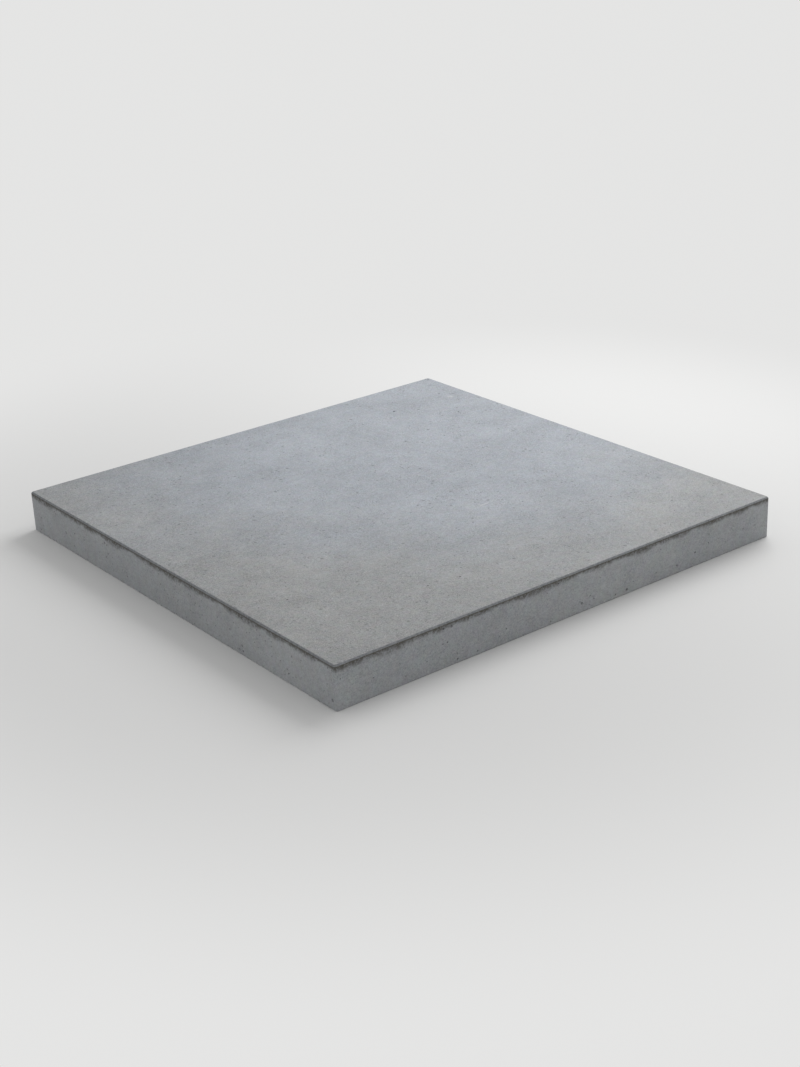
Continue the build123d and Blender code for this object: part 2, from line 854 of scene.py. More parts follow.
    def _base_arris(self, outline: Outline, above: np.ndarray) -> np.ndarray:
        """Carry the broken arris round the underside.

        Args:
            outline: The path round the slab.
            above: Numbers of the lowest ring of the sides.

        Returns:
            Numbers of the ring that borders the underside.
        """
        size = self.sizes.base_arris
        soft, guarded = size / 4, size + self.arris_guard
        inset = np.array([0.0, 0.0, soft, size - soft, size, guarded])
        height = np.array([guarded, size, size - soft, soft, 0.0, 0.0])
        half_turns = np.array([0.5, 0.58, 0.70, 0.80, 0.92, 1.0])
        rings = self.shell.add_points(self._carry(outline, inset, height, math.pi * half_turns))
        self.shell.join_rings(np.concatenate([above[None], rings]), Face.MOULDED)
        return rings[-1]


class Drawing:
    """A node tree while it is being drawn."""

    def __init__(self, tree: bpy.types.NodeTree) -> None:
        """Take the tree that the nodes go into."""
        self._tree = tree

    @classmethod
    def of(cls, owner: bpy.types.Material | bpy.types.World) -> Drawing:
        """Start afresh on the tree of a material or a world."""
        owner.node_tree.nodes.clear()
        return cls(owner.node_tree)

    def add(self, kind: str, feeds: Feeds | None = None, **settings: object) -> Outputs:
        """Place a node.

        Args:
            kind: The node's type.
            feeds: A value or a socket for each input, by the input's name or number.
            settings: The node's own settings.

        Returns:
            The node's outputs.
        """
        node = self._tree.nodes.new(kind)
        for name, setting in settings.items():
            setattr(node, name, setting)
        for name, value in (feeds or {}).items():
            if isinstance(value, Socket):
                self._tree.links.new(value, node.inputs[name])
            else:
                node.inputs[name].default_value = value
        return node.outputs

    def math(self, operation: str, *values: Feed) -> Socket:
        """Place a Math node and return its result."""
        return self.add("ShaderNodeMath", dict(enumerate(values)), operation=operation)[0]

    def times(self, first: Feed, second: Feed) -> Socket:
        """Multiply two values."""
        return self.math("MULTIPLY", first, second)

    def times_plus(self, first: Feed, second: Feed, third: Feed) -> Socket:
        """Multiply two values and add a third."""
        return self.math("MULTIPLY_ADD", first, second, third)

    def less(self, first: Feed, second: Feed) -> Socket:
        """Take the second value from the first."""
        return self.math("SUBTRACT", first, second)

    def vector(self, operation: str, *values: Feed) -> Socket:
        """Place a Vector Math node and return its vector."""
        return self.add("ShaderNodeVectorMath", dict(enumerate(values)), operation=operation)[0]

    def dot(self, first: Feed, second: Feed) -> Socket:
        """Work out the dot product of two vectors."""
        feeds = {0: first, 1: second}
        return self.add("ShaderNodeVectorMath", feeds, operation="DOT_PRODUCT")["Value"]

    def length(self, vector: Feed) -> Socket:
        """Work out the length of a vector."""
        return self.math("SQRT", self.dot(vector, vector))

    def scaled(self, vector: Feed, factor: Feed) -> Socket:
        """Multiply a vector by a factor."""
        feeds = {0: vector, "Scale": factor}
        return self.add("ShaderNodeVectorMath", feeds, operation="SCALE")[0]

    def blend(self, factor: Feed, first: Feed, second: Feed) -> Socket:
        """Mix two colours, the first where the factor is 0."""
        feeds = {"Factor": factor, 6: opaque(first), 7: opaque(second)}
        return self.add("ShaderNodeMix", feeds, data_type="RGBA")[2]

    def cover(self, below: Feed, above: Feed, mask: Feed, strength: Feed) -> Socket:
        """Lay one colour over another where the mask is 1, at a strength."""
        return self.blend(self.times(mask, strength), below, above)

    def ramp(
        self, value: Feed, low: Feed, high: Feed, to_low: Feed = 0.0, to_high: Feed = 1.0
    ) -> Socket:
        """Map a value smoothly from one range to another, and hold it at the ends."""
        feeds = dict(enumerate((value, low, high, to_low, to_high)))
        return self.add("ShaderNodeMapRange", feeds, interpolation_type="SMOOTHSTEP")[0]

    def noise(
        self, where: Feed, size: Feed, detail: float = 0.0, roughness: float = 0.5
    ) -> Outputs:
        """Noise from 0 to 1 whose features have the given size: a value, then a colour."""
        feeds = {"Vector": where, "Scale": self.scale_for(size), "Detail": detail, "Roughness": roughness}
        return self.add("ShaderNodeTexNoise", feeds)

    def cells(self, where: Feed, size: Feed) -> Outputs:
        """Cells of the given size: the distance from their middles and a random colour."""
        return self.add("ShaderNodeTexVoronoi", {"Vector": where, "Scale": self.scale_for(size)})

    def scale_for(self, size: Feed) -> Feed:
        """Turn the size of a texture's features into its scale."""
        return 1.0 / size if isinstance(size, float) else self.math("DIVIDE", 1.0, size)

    def parts(self, colour: Feed) -> Outputs:
        """Take a colour apart."""
        return self.add("ShaderNodeSeparateColor", {0: colour})


def put(name: str, data: bpy.types.ID) -> bpy.types.Object:
    """Put an object into the scene.

    Args:
        name: The object's name.
        data: Its mesh, lamp or camera.

    Returns:
        The object, at the origin.
    """
    thing = bpy.data.objects.new(name, data)
    bpy.context.scene.collection.objects.link(thing)
    return thing


def opaque(colour: Feed) -> Feed:
    """Give a plain colour its fourth number, and pass a socket through."""
    return (*colour, 1.0) if isinstance(colour, tuple) and len(colour) == 3 else colour


class Effect:
    """An effect that finishes use: a node group, drawn once and placed with their values."""

    name = ""
    takes: dict[str, float | None] = {}
    gives: tuple[str, ...] = ()
    gives_colours: tuple[str, ...] = ()

    def __init__(self) -> None:
        """Draw the group once. An input whose value is None is a vector."""
        tree = bpy.data.node_groups.new(self.name, "ShaderNodeTree")
        for label, value in self.takes.items():
            kind = "NodeSocketVector" if value is None else "NodeSocketFloat"
            socket = tree.interface.new_socket(label, in_out="INPUT", socket_type=kind)
            if value is not None:
                socket.default_value = value
        for label in self.gives:
            tree.interface.new_socket(label, in_out="OUTPUT", socket_type="NodeSocketFloat")
        for label in self.gives_colours:
            tree.interface.new_socket(label, in_out="OUTPUT", socket_type="NodeSocketColor")
        drawing = Drawing(tree)
        given = drawing.add("NodeGroupInput")
        drawing.add("NodeGroupOutput", self.draw(drawing, given))
        self._tree = tree

    def draw(self, drawing: Drawing, given: Outputs) -> Feeds:
        """Draw the group.

        Args:
            drawing: The group's tree.
            given: The group's inputs.

        Returns:
            A socket for each output.
        """
        raise NotImplementedError

    def place(self, drawing: Drawing, **values: Feed) -> Outputs:
        """Place the group in a finish.

        Args:
            drawing: The finish's tree.
            values: Inputs by name, in lower case with _ for a space.

        Returns:
            The group's outputs.
        """
        feeds = {name.replace("_", " ").capitalize(): value for name, value in values.items()}
        return drawing.add("ShaderNodeGroup", feeds, node_tree=self._tree)


class SandGrain(Effect):
    """The grain of sand and cement paste at the surface.

    The shade is the sum of one random tone for each grain and of noise at three larger
    sizes. It is centred on 0. The pits are where the paste is open between grains: the
    peaks of a ragged noise, more of them where the face is more open. The relief rises
    with the grains' middles and falls in the pits. The hue is three noises, one for each
    of red, green and blue, less their mean, so it turns a colour without lightening it.
    Sizes are in grains.
    """

    name = "sand_grain"
    takes = {"Where": None, "Size": 1.6 * MM, "Openness": 0.5}
    gives = ("Shade", "Pits", "Relief")
    gives_colours = ("Hue",)

    def draw(self, drawing: Drawing, given: Outputs) -> Feeds:
        """Draw the grain.

        Args:
            drawing: The group's tree.
            given: The group's inputs.

        Returns:
            A socket for each output.
        """
        tone_weight, patches = 0.62, ((1.5, 1.35), (3.4, 0.85), (8.0, 0.42))
        pit_size, pits_if_closed, pits_if_open, pit_edge = 2.3, 0.68, 0.56, 0.10
        swell_size, swell_height, pit_height = 2.5, 1.2, -1.5
        hue_size, hue_detail, hue_roughness = 10.0, 4.0, 0.68

        where, size = given["Where"], given["Size"]
        cells = drawing.cells(where, size)
        tone = drawing.parts(cells["Color"])[0]
        shade = drawing.times(drawing.less(tone, 0.5), tone_weight)
        for times, weight in patches:
            patch = drawing.noise(where, drawing.times(size, times), detail=1.0)[0]
            shade = drawing.times_plus(drawing.less(patch, 0.5), weight, shade)
        ragged = drawing.noise(where, drawing.times(size, pit_size), detail=2.0)[0]
        threshold = drawing.ramp(given["Openness"], 0.0, 1.0, pits_if_closed, pits_if_open)
        pits = drawing.ramp(drawing.less(ragged, threshold), 0.0, pit_edge)
        relief = drawing.less(1.0, cells["Distance"])
        swell = drawing.noise(where, drawing.times(size, swell_size), detail=2.0)[0]
        relief = drawing.times_plus(swell, swell_height, relief)
        relief = drawing.times_plus(pits, pit_height, relief)
        wide = drawing.times(size, hue_size)
        tones = drawing.noise(where, wide, detail=hue_detail, roughness=hue_roughness)["Color"]
        mean = drawing.dot(tones, (1 / 3, 1 / 3, 1 / 3))
        hue = drawing.vector("SUBTRACT", tones, mean)
        return {"Shade": shade, "Pits": pits, "Relief": relief, "Hue": hue}


class CementClouds(Effect):
    """Clouds in the cement, from the way the mix was spread, wetted and dried.

    Lightness, warmth and mottle are noise at falling sizes, centred on 0. Openness tells
    from 0 to 1 how coarse the paste is, in patches. Each is the noise of another part of
    space, and its size is a share of the clouds' size.
    """

    name = "cement_clouds"
    takes = {"Where": None, "Size": 0.20}
    gives = ("Lightness", "Warmth", "Mottle", "Openness")

    def draw(self, drawing: Drawing, given: Outputs) -> Feeds:
        """Draw the clouds.

        Args:
            drawing: The group's tree.
            given: The group's inputs.

        Returns:
            A socket for each output.
        """
        openness_half_range = 0.16
        results: Feeds = {}
        for label, shift, share in (
            ("Lightness", (3.1, 7.7, 1.3), 1.0),
            ("Warmth", (9.4, 2.2, 5.8), 0.8),
            ("Mottle", (6.3, 8.1, 2.9), 0.20),
            ("Openness", (1.7, 4.6, 8.2), 0.28),
        ):
            moved = drawing.vector("ADD", given["Where"], shift)
            patch = drawing.noise(moved, drawing.times(given["Size"], share), detail=3.0)[0]
            results[label] = drawing.less(patch, 0.5)
        results["Openness"] = drawing.ramp(
            results["Openness"], -openness_half_range, openness_half_range
        )
        return results


class Specks(Effect):
    """Small specks, such as pores, light grains or flecks of lime.

    Space is cut into cells, and a share of the cells hold one ball each, of a random
    radius. Noise moves the places about by the raggedness, so no speck comes out round.
    The mask is 1 where the surface cuts a ball and 0 elsewhere.
    """

    name = "specks"
    takes = {
        "Where": None,
        "Spacing": 8 * MM,
        "Share": 0.5,
        "Smallest": 0.5 * MM,
        "Largest": 1.5 * MM,
        "Softness": 0.4 * MM,
        "Raggedness": 1.2 * MM,
    }
    gives = ("Mask",)

    def draw(self, drawing: Drawing, given: Outputs) -> Feeds:
        """Draw the specks.

        Args:
            drawing: The group's tree.
            given: The group's inputs.

        Returns:
            A socket for each output.
        """
        jolt_size = 1.6 * MM
        jolt = drawing.noise(given["Where"], jolt_size, detail=1.0)["Color"]
        jolt = drawing.scaled(drawing.vector("SUBTRACT", jolt, (0.5, 0.5, 0.5)), given["Raggedness"])
        moved = drawing.vector("ADD", given["Where"], jolt)
        cells = drawing.cells(moved, given["Spacing"])
        chance = drawing.parts(cells["Color"])
        spread = drawing.less(given["Largest"], given["Smallest"])
        skewed = drawing.math("POWER", chance[0], 2.0)
        radius = drawing.times_plus(skewed, spread, given["Smallest"])
        away = drawing.times(cells["Distance"], given["Spacing"])
        inside = drawing.math("DIVIDE", drawing.less(radius, away), given["Softness"])
        ball = drawing.ramp(inside, 0.0, 1.0)
        held = drawing.math("LESS_THAN", chance[1], given["Share"])
        return {"Mask": drawing.times(ball, held)}


class EdgeDirtAndShade(Effect):
    """Dirt on the chamfer and on the top of the sides, with painted shade and shadow.

    The film is a dark haze from the upper arris down: partly grime and partly painted shade, where a
    neighbouring slab would shade the chamfer. The dirt is sand and rotted leaves: a line along the
    chamfer's lower arris, which is partly dirt and partly the painted shadow of the joint, and ragged
    patches below it. Both thin out over the reach, which noise along the sides lengthens and shortens.
    The grit is the paler grains of sand in them, fewer in the film: the middles of a share of random
    cells.
    """

    name = "edge_dirt_and_shade"
    takes = {"Where": None, "Top": 0.08, "Chamfer": 3 * MM, "Reach": 16 * MM}
    gives = ("Grime and shade film", "Dirt and shadow", "Grit")

    def draw(self, drawing: Drawing, given: Outputs) -> Feeds:
        """Draw the dirt, the film's painted shade and the line's painted shadow.

        Args:
            drawing: The group's tree.
            given: The group's inputs.

        Returns:
            A socket for each output.
        """
        long_size, short_size, grit_size, share_of_grit = 70 * MM, 5 * MM, 1.7 * MM, 0.30
        dirt_starts, dirt_is_full, dirt_and_shadow_line_ends = 0.92, 1.08, 2.6
        film_starts, film_is_full, grit_in_film = 0.1 * MM, 0.6 * MM, 0.6
        middle_range, dirt_range, grain_edge = (0.3, 0.7), (0.36, 0.62), (0.25, 0.42)
        reach_range, least_dirt, least_film = (0.5, 1.4), 0.1, 0.60

        where, chamfer = given["Where"], given["Chamfer"]
        height = drawing.add("ShaderNodeSeparateXYZ", {0: where})["Z"]
        drop = drawing.less(given["Top"], height)
        long_patch = drawing.noise(where, long_size, detail=3.0, roughness=0.6)[0]
        short_patch = drawing.noise(where, short_size, detail=3.0, roughness=0.65)[0]
        stretch = drawing.ramp(long_patch, *middle_range, *reach_range)
        reach = drawing.times(given["Reach"], stretch)
        fade = drawing.ramp(drop, chamfer, reach, 1.0, 0.0)

        start = drawing.times(chamfer, dirt_starts)
        starts = drawing.ramp(drop, start, drawing.times(chamfer, dirt_is_full))
        patches = drawing.ramp(short_patch, *dirt_range, least_dirt, 1.0)
        # painted shadow, partly dirt: a dark line along the lower arris, where the joint's shadow falls
        dirt_and_shadow_line = drawing.ramp(drop, chamfer, drawing.times(chamfer, dirt_and_shadow_line_ends), 1.0, 0.0)
        cover = drawing.math("MAXIMUM", patches, dirt_and_shadow_line)
        dirt_and_shadow = drawing.times(drawing.times(fade, starts), cover)

        # painted shade, partly grime: the film darkens the chamfer from its upper arris down
        edge = drawing.ramp(drop, film_starts, film_is_full)
        haze = drawing.ramp(short_patch, *middle_range, least_film, 1.0)
        grime_and_shade_film = drawing.times(drawing.times(fade, edge), haze)

        cells = drawing.cells(where, grit_size)
        chance = drawing.parts(cells["Color"])[0]
        grains = drawing.ramp(cells["Distance"], *grain_edge, 1.0, 0.0)
        grains = drawing.times(grains, drawing.math("LESS_THAN", chance, share_of_grit))
        held = drawing.math("MAXIMUM", dirt_and_shadow, drawing.times(grime_and_shade_film, grit_in_film))
        return {"Grime and shade film": grime_and_shade_film, "Dirt and shadow": dirt_and_shadow, "Grit": drawing.times(grains, held)}


class Stroke(Effect):
    """One mark from a start to an end, such as a scuff or a hairline crack.

    The mask is 1 within the half width of the line from start to end, and fades over the
    softness. Noise breaks it up by the patchiness, and moves its edge by up to half the
    softness.
    """

    name = "stroke"
    takes = {
        "Where": None,
        "Start": None,
        "End": None,
        "Half width": 1 * MM,
        "Softness": 1 * MM,
        "Patchiness": 0.5,
    }
    gives = ("Mask",)

    def draw(self, drawing: Drawing, given: Outputs) -> Feeds:
        """Draw the mark.

        Args:
            drawing: The group's tree.
            given: The group's inputs.

        Returns:
            A socket for each output.
        """
        grit_size, gap_range, shortest_squared = 2.2 * MM, (0.35, 0.60), 1e-9
        where, start = given["Where"], given["Start"]
        run = drawing.vector("SUBTRACT", given["End"], start)
        here = drawing.vector("SUBTRACT", where, start)
        along = drawing.dot(here, run)
        run_squared = drawing.math("MAXIMUM", drawing.dot(run, run), shortest_squared)
        share = drawing.math("DIVIDE", along, run_squared)
        share = drawing.math("MINIMUM", drawing.math("MAXIMUM", share, 0.0), 1.0)
        distance = drawing.length(drawing.vector("SUBTRACT", here, drawing.scaled(run, share)))
        grit = drawing.noise(where, grit_size, detail=2.0)[0]
        wobble = drawing.times(drawing.less(grit, 0.5), given["Softness"])
        past = drawing.less(drawing.math("ADD", distance, wobble), given["Half width"])
        near = drawing.ramp(past, 0.0, given["Softness"], 1.0, 0.0)
        gaps = drawing.ramp(grit, *gap_range, drawing.less(1.0, given["Patchiness"]), 1.0)
        return {"Mask": drawing.times(near, gaps)}


@dataclass(frozen=True)
class Effects:
    """The effects that the finishes use, each drawn once."""

    grain: SandGrain = field(default_factory=SandGrain)
    clouds: CementClouds = field(default_factory=CementClouds)
    specks: Specks = field(default_factory=Specks)
    dirt_and_shadow: EdgeDirtAndShade = field(default_factory=EdgeDirtAndShade)
    stroke: Stroke = field(default_factory=Stroke)


@dataclass(frozen=True)
class Ground:
    """What a finish is drawn on: its tree, the effects, the surface's points and the clouds."""

    drawing: Drawing
    effects: Effects
    where: Socket
    clouds: Outputs


@dataclass(frozen=True)
class SpeckKind:
    """One kind of speck in a finish: how it is spread, its colour and its strength."""

    spacing: float
    share: float
    smallest: float
    largest: float
    softness: float
    colour: Colour
    strength: float
    shift: Point
    follows_openness: float = 0.0

    def over(self, colour: Socket, ground: Ground) -> Socket:
        """Lay the specks over a colour, more of them where the paste is open.

        Args:
            colour: The colour below them.
            ground: What the finish is drawn on.

        Returns:
            The colour with the specks.
        """
        drawing = ground.drawing
        extra = drawing.less(ground.clouds["Openness"], 0.5)
        share = drawing.times_plus(extra, self.follows_openness, self.share)
        mask = ground.effects.specks.place(
            drawing,
            where=drawing.vector("ADD", ground.where, self.shift),
            spacing=self.spacing,
            share=share,
            smallest=self.smallest,
            largest=self.largest,
            softness=self.softness,
        )["Mask"]
        return drawing.cover(colour, self.colour, mask, self.strength)


@dataclass(frozen=True)
class Mark:
    """One mark on the walking face, at its place in the photograph."""

    start: Place
    end: Place
    half_width: float
    softness: float
    colour: Colour
    strength: float
    patchiness: float

    def over(self, colour: Socket, ground: Ground, height: float) -> Socket:
        """Lay the mark over a colour.

        Args:
            colour: The colour below it.
            ground: What the finish is drawn on.
            height: The height of the walking face.

        Returns:
            The colour with the mark.
        """
        mask = ground.effects.stroke.place(
            ground.drawing,
            where=ground.where,
            start=(*self.start, height),
            end=(*self.end, height),
            half_width=self.half_width,
            softness=self.softness,
            patchiness=self.patchiness,
        )["Mask"]
        return ground.drawing.cover(colour, self.colour, mask, self.strength)


@dataclass(frozen=True)
class Patch:
    """A round part of the walking face with a soft edge, from the inner radius to the outer."""

    centre: Place
    inner: float
    outer: float

    def outside(self, ground: Ground) -> Socket:
        """Work out how far a point of the surface lies outside the patch.

        Args:
            ground: What the finish is drawn on.

        Returns:
            0 within the inner radius, rising smoothly to 1 past the outer one.
        """
        level_only = (1.0, 1.0, 0.0)
        drawing = ground.drawing
        beside = drawing.vector("SUBTRACT", ground.where, (*self.centre, 0.0))
        level = drawing.vector("MULTIPLY", beside, level_only)
        return drawing.ramp(drawing.length(level), self.inner, self.outer)


@dataclass(frozen=True)
class ConcreteFinish:
    """A concrete finish: its colours, how strongly each effect shows, and its relief."""

    name: str
    cool: Colour = (0.354, 0.377, 0.411)
    warm: Colour = (0.364, 0.370, 0.371)
    # cool inside this patch, warm outside: partly the cement's tint, partly a painted skylight tint
    cool_and_sky_tinted_patch: Patch | None = None
    # painted shade, partly real tone: outside this patch the walking face is darker by the lightness
    # below, most at the near corner
    lit_patch: Patch | None = None
    shaded_lightness_outside: float = 0.74
    warmth_contrast: float = 0.7
    warmth_of_light: float = 0.4
    cloud_contrast: float = 0.36
    mottle_contrast: float = 0.25
    grain_contrast: float = 0.36
    hue_contrast: float = 0.16
    grain_size: float = 1.4 * MM
    pit_strength: float = 0.36
    pit_colour: Colour = (0.14, 0.145, 0.15)
    specks: tuple[SpeckKind, ...] = ()
    marks: tuple[Mark, ...] = ()
    # the dirt's line along the lower arris is partly a painted joint shadow
    dirt_and_shadow_strength: float = 0.0
    dirt_and_shadow_colour: Colour = (0.070, 0.064, 0.048)
    grit_strength: float = 0.75
    grit_colour: Colour = (0.36, 0.35, 0.32)
    # the film is partly grime, partly painted shade on the chamfer
    grime_and_shade_film_strength: float = 0.0
    grime_and_shade_film_colour: Colour = (0.105, 0.110, 0.120)
    # darker down the bowls of air voids: partly dirt, partly painted shade
    hollow_shade_and_dirt_colour: Colour = (0.13, 0.132, 0.132)
    hollow_shade_and_dirt_strength: float = 0.35
    roughness: float = 0.86
    roughness_contrast: float = 0.15
    relief: float = 0.10 * MM

    def material(self, effects: Effects, sizes: SlabSizes) -> bpy.types.Material:
        """Make the finish's material.

        Args:
            effects: The effects to draw it with.
            sizes: The slab's sizes, for where the faces are.

        Returns:
            The material.
        """
        material = bpy.data.materials.new(self.name)
        material.use_nodes = True
        drawing = Drawing.of(material)
        where = drawing.add("ShaderNodeTexCoord")["Object"]
        clouds = effects.clouds.place(drawing, where=where)
        grain = effects.grain.place(
            drawing, where=where, size=self.grain_size, openness=clouds["Openness"]
        )
        ground = Ground(drawing, effects, where, clouds)

        colour = self._cement(ground, grain)
        for kind in self.specks:
            colour = kind.over(colour, ground)
        for mark in self.marks:
            colour = mark.over(colour, ground, sizes.thickness)
        # painted shade and shadow on the slab's edge, with its dirt
        if self.dirt_and_shadow_strength:
            colour = self._soil_and_shade(colour, ground, sizes)
        # painted shade and dirt: darker down the bowls of air voids
        hollow = drawing.add("ShaderNodeAttribute", attribute_name=HOLLOW)["Fac"]
        colour = drawing.cover(colour, self.hollow_shade_and_dirt_colour, hollow, self.hollow_shade_and_dirt_strength)

        roughness = drawing.times_plus(clouds["Lightness"], self.roughness_contrast, self.roughness)
        bump = {"Height": grain["Relief"], "Distance": self.relief, "Strength": 1.0}
        shader = {
            "Base Color": colour,
            "Roughness": roughness,
            "Normal": drawing.add("ShaderNodeBump", bump)[0],
        }
        surface = drawing.add("ShaderNodeBsdfPrincipled", shader)[0]
        drawing.add("ShaderNodeOutputMaterial", {"Surface": surface})
        log.info("finish %s", self.name)
        return material

    def _cement(self, ground: Ground, grain: Outputs) -> Socket:
        """Colour the cement and sand: cool or warm, then lighter or darker, then pitted. The cool middle
        of the walking face is partly the cement's tint and partly a painted skylight tint, and its
        darkening away from the lit middle is partly the cement's tone and partly painted shade.

        Args:
            ground: What the finish is drawn on.
            grain: The grain of its sand.

        Returns:
            The colour.
        """
        drawing, clouds = ground.drawing, ground.clouds
        tint: Feed = 0.5
        light: Feed = 1.0
        # partly a painted skylight tint: cooler towards the patch's middle
        if self.cool_and_sky_tinted_patch:
            tint = self.cool_and_sky_tinted_patch.outside(ground)
        # painted shade, partly real tone: darker outside the lit middle of the walking face
        if self.lit_patch:
            outside = self.lit_patch.outside(ground)
            light = drawing.times_plus(outside, self.shaded_lightness_outside - 1.0, 1.0)
        tint = drawing.times_plus(clouds["Warmth"], self.warmth_contrast, tint)
        tint = drawing.times_plus(clouds["Lightness"], self.warmth_of_light, tint)
        colour = drawing.blend(drawing.ramp(tint, 0.0, 1.0), self.cool, self.warm)
        light = drawing.times_plus(clouds["Lightness"], self.cloud_contrast, light)
        light = drawing.times_plus(clouds["Mottle"], self.mottle_contrast, light)
        light = drawing.times_plus(grain["Shade"], self.grain_contrast, light)
        hue = drawing.vector("ADD", drawing.scaled(grain["Hue"], self.hue_contrast), (1.0, 1.0, 1.0))
        colour = drawing.vector("MULTIPLY", drawing.scaled(colour, light), hue)
        return drawing.cover(colour, self.pit_colour, grain["Pits"], self.pit_strength)

    def _soil_and_shade(self, colour: Socket, ground: Ground, sizes: SlabSizes) -> Socket:
        """Lay the film, dirt and grit of the slab's edge over a colour: grime, sand and leaves, with
        painted shade in the film and a painted joint shadow in the dirt's line.

        Args:
            colour: The colour below them.
            ground: What the finish is drawn on.
            sizes: The slab's sizes.

        Returns:
            The colour with all three.
        """
        masks = ground.effects.dirt_and_shadow.place(
            ground.drawing, where=ground.where, top=sizes.thickness, chamfer=sizes.chamfer_depth
        )
        for label, soil_and_shade, strength in (
            ("Grime and shade film", self.grime_and_shade_film_colour, self.grime_and_shade_film_strength),
            ("Dirt and shadow", self.dirt_and_shadow_colour, self.dirt_and_shadow_strength),
            ("Grit", self.grit_colour, self.grit_strength),
        ):
            colour = ground.drawing.cover(colour, soil_and_shade, masks[label], strength)
        return colour


DARK = (0.13, 0.136, 0.137)
PALE = (0.61, 0.61, 0.61)
CHALKY = (0.70, 0.71, 0.72)
SCRATCHED = (0.72, 0.73, 0.74)

PORES = SpeckKind(
    spacing=8 * MM,
    share=0.56,
    smallest=0.4 * MM,
    largest=1.7 * MM,
    softness=0.5 * MM,
    colour=DARK,
    strength=0.82,
    shift=(1.0, 2.0, 3.0),
    follows_openness=0.60,
)
SOFT_SPOTS = SpeckKind(
    spacing=11 * MM,
    share=0.46,
    smallest=1.2 * MM,
    largest=3.9 * MM,
    softness=1.5 * MM,
    colour=DARK,
    strength=0.50,
    shift=(3.0, 6.0, 4.0),
    follows_openness=0.75,
)
DARK_SAND = SpeckKind(
    spacing=3.4 * MM,
    share=0.44,
    smallest=0.3 * MM,
    largest=1.2 * MM,
    softness=0.5 * MM,
    colour=DARK,
    strength=0.56,
    shift=(4.0, 1.0, 2.0),
    follows_openness=0.50,
)
LIGHT_SAND = SpeckKind(
    spacing=3.8 * MM,
    share=0.34,
    smallest=0.3 * MM,
    largest=1.2 * MM,
    softness=0.5 * MM,
    colour=PALE,
    strength=0.60,
    shift=(2.0, 5.0, 1.0),
)
LIME = SpeckKind(
    spacing=20 * MM,
    share=0.40,
    smallest=0.5 * MM,
    largest=1.4 * MM,
    softness=0.6 * MM,
    colour=CHALKY,
    strength=0.55,
    shift=(7.0, 3.0, 5.0),
)

RUBBED_SPOT = Mark(
    start=(0.447, 0.359),
    end=(0.447, 0.359),
    half_width=3.0 * MM,
    softness=9.0 * MM,
    colour=PALE,
    strength=0.30,
    patchiness=0.2,
)
SCUFF = Mark(
    start=(0.085, -0.162),
    end=(0.104, -0.162),
    half_width=0.4 * MM,
    softness=0.8 * MM,
    colour=SCRATCHED,
    strength=0.65,
    patchiness=0.3,
)
HAIRLINE = Mark(
    start=(0.394, -0.105),
    end=(0.411, -0.148),
    half_width=0.3 * MM,
    softness=0.9 * MM,
    colour=DARK,
    strength=0.65,
    patchiness=1.0,
)

FINISHES = {
    Face.WALKING: ConcreteFinish(
        "walking_face_concrete",
        # cooler in this patch: partly the cement's tint, partly painted skylight
        cool_and_sky_tinted_patch=Patch(centre=(0.20, 0.25), inner=0.22, outer=0.95),
        # darker away from this patch: partly real tone, partly painted shade
        lit_patch=Patch(centre=(0.26, 0.14), inner=0.20, outer=1.00),
        specks=(SOFT_SPOTS, DARK_SAND, LIGHT_SAND, PORES, LIME),
        marks=(RUBBED_SPOT, SCUFF, HAIRLINE),
    ),
    Face.MOULDED: ConcreteFinish(
        "mould_struck_concrete",
        cool=(0.322, 0.336, 0.352),
        warm=(0.338, 0.347, 0.351),
        grain_contrast=0.30,
        pit_strength=0.30,
        specks=(DARK_SAND, PORES),
        # dirt with a painted joint shadow, and a film of grime and painted shade
        dirt_and_shadow_strength=0.92,
        grime_and_shade_film_strength=0.84,
        hollow_shade_and_dirt_strength=0.55,
    ),
    Face.BASE: ConcreteFinish(
        "base_plate_concrete",
        cool=(0.362, 0.378, 0.395),
        warm=(0.400, 0.402, 0.392),
        cloud_contrast=0.45,
        specks=(DARK_SAND, LIGHT_SAND, PORES),
        hollow_shade_and_dirt_strength=0.55,
        relief=0.16 * MM,
    ),
}


@dataclass(frozen=True)
class Viewpoint:
    """The camera: as far from the slab, as high and as tilted as in the photograph.

    It turns to the slab's middle and its lens is wider, so that the whole slab is seen.
    """

    place: Point = (-1.848, -2.450, 1.304)
    aim: Point = (-0.048, -0.088, 0.040)
    roll_deg: float = 2.49
    lens_mm: float = 59.1

    def set_up(self) -> None:
        """Make the scene's camera, upright but for the roll about its view."""
        data = bpy.data.cameras.new("camera")
        data.lens = self.lens_mm
        camera = put("camera", data)
        look = (Vector(self.aim) - Vector(self.place)).normalized()
        upright = look.to_track_quat("-Z", "Y").to_matrix().to_4x4()
        roll = Matrix.Rotation(-math.radians(self.roll_deg), 4, "Z")
        camera.matrix_world = Matrix.Translation(self.place) @ upright @ roll
        bpy.context.scene.camera = camera


@dataclass(frozen=True)
class Softbox:
    """A square soft lamp that faces the slab."""

    name: str
    place: Point
    size: float
    watts: float

    def hang(self) -> None:
        """Hang the lamp, out of the camera's sight."""
        data = bpy.data.lights.new(self.name, "AREA")
        data.shape = "SQUARE"
        data.size = self.size
        data.energy = self.watts
        lamp = put(self.name, data)
        lamp.location = self.place
        lamp.rotation_mode = "QUATERNION"
        lamp.rotation_quaternion = (-Vector(self.place)).to_track_quat("-Z", "Y")
        lamp.visible_camera = False


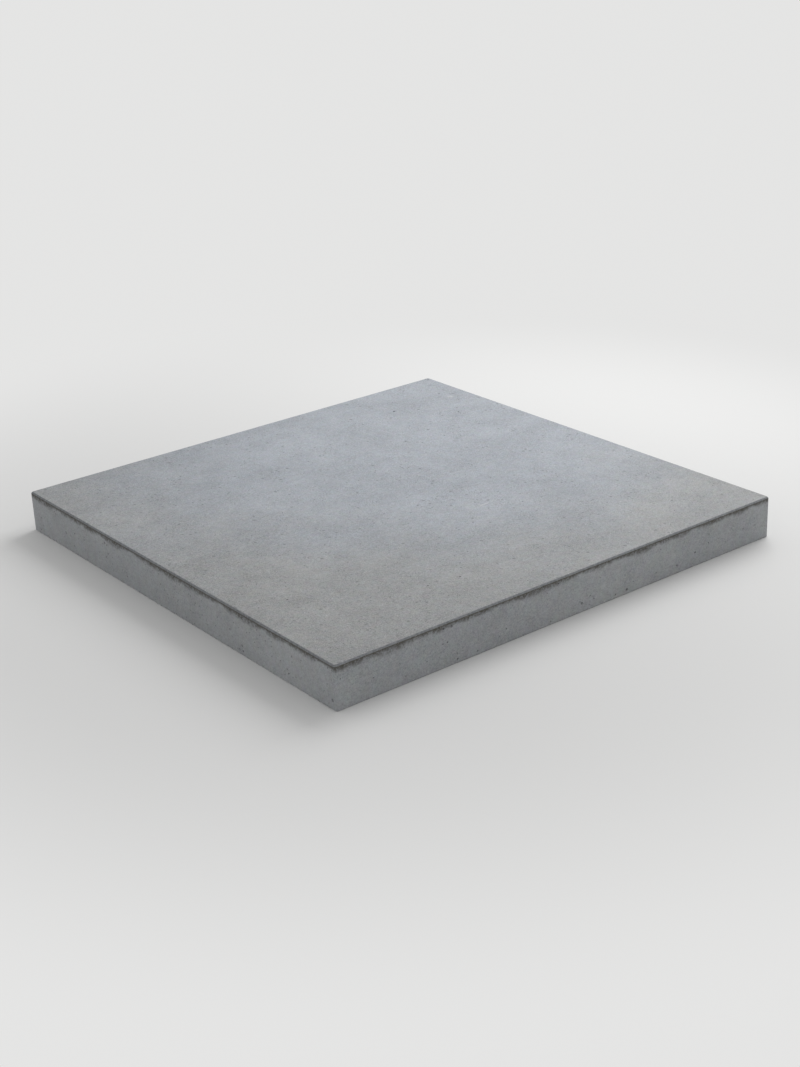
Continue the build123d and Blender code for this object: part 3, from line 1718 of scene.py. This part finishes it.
@dataclass(frozen=True)
class Studio:
    """A plain pale floor under soft light, which runs into a plain pale background."""

    floor_half_width: float = 60.0
    floor_colour: Colour = (0.68, 0.68, 0.675)
    floor_roughness: float = 0.9
    background: Colour = (0.78, 0.78, 0.775)
    fade_from: float = 0.62
    fade_to: float = 1.5
    sky_colour: Colour = (1.0, 1.0, 1.0)
    sky_strength: float = 0.62
    softbox: Softbox = Softbox(name="softbox_beyond", place=(2.2, 0.6, 2.1), size=2.2, watts=64.0)
    viewpoint: Viewpoint = Viewpoint()

    def set_up(self) -> None:
        """Lay the floor, light it and place the camera."""
        self._lay_floor()
        self.softbox.hang()
        self._light_world()
        self.viewpoint.set_up()
        bpy.context.scene.view_settings.view_transform = "Standard"

    def _lay_floor(self) -> None:
        """Lay the floor, level with the slab's underside.

        It takes light and shadow like any surface. To the camera alone it turns by its
        distance from the slab into the background's colour, so that no horizon shows.
        """
        half = self.floor_half_width
        mesh = bpy.data.meshes.new("floor")
        corners = [(-half, -half, 0), (half, -half, 0), (half, half, 0), (-half, half, 0)]
        mesh.from_pydata(corners, [], [(0, 1, 2, 3)])
        mesh.materials.append(self._floor_finish())
        put("floor", mesh)

    def _floor_finish(self) -> bpy.types.Material:
        """Make the floor's material.

        Returns:
            The material, which fades into the background for the camera.
        """
        material = bpy.data.materials.new("pale_floor")
        material.use_nodes = True
        drawing = Drawing.of(material)
        distance = drawing.length(drawing.add("ShaderNodeTexCoord")["Object"])
        seen = drawing.add("ShaderNodeLightPath")["Is Camera Ray"]
        fade = drawing.times(drawing.ramp(distance, self.fade_from, self.fade_to), seen)
        paint = {"Base Color": opaque(self.floor_colour), "Roughness": self.floor_roughness}
        near = drawing.add("ShaderNodeBsdfPrincipled", paint)[0]
        far = drawing.add("ShaderNodeEmission", {"Color": opaque(self.background), "Strength": 1.0})[0]
        surface = drawing.add("ShaderNodeMixShader", {0: fade, 1: near, 2: far})[0]
        drawing.add("ShaderNodeOutputMaterial", {"Surface": surface})
        return material

    def _light_world(self) -> None:
        """Light the slab evenly from all round, and show the background to the camera."""
        world = bpy.data.worlds.new("soft_light")
        world.use_nodes = True
        drawing = Drawing.of(world)
        seen = drawing.add("ShaderNodeLightPath")["Is Camera Ray"]
        light, shown = (
            drawing.add("ShaderNodeBackground", {"Color": opaque(colour), "Strength": strength})[0]
            for colour, strength in ((self.sky_colour, self.sky_strength), (self.background, 1.0))
        )
        surface = drawing.add("ShaderNodeMixShader", {0: seen, 1: light, 2: shown})[0]
        drawing.add("ShaderNodeOutputWorld", {"Surface": surface})
        bpy.context.scene.world = world


def main() -> None:
    """Load the solid, build and dress the slab over it, and set up the studio."""
    logging.basicConfig(level=logging.INFO, format="%(name)s: %(message)s")
    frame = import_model()
    log.info("the frame holds %s", ", ".join(frame["nodes"]))
    sizes = SlabSizes.of_solid("slab")

    slab = ConcreteSlab(sizes)
    piece = slab.build("paving_slab")
    effects = Effects()
    finishes = {face: finish.material(effects, sizes) for face, finish in FINISHES.items()}
    slab.dress(piece, finishes)
    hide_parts("slab")
    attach(piece, "root")

    Studio().set_up()


if __name__ == "__main__":
    main()
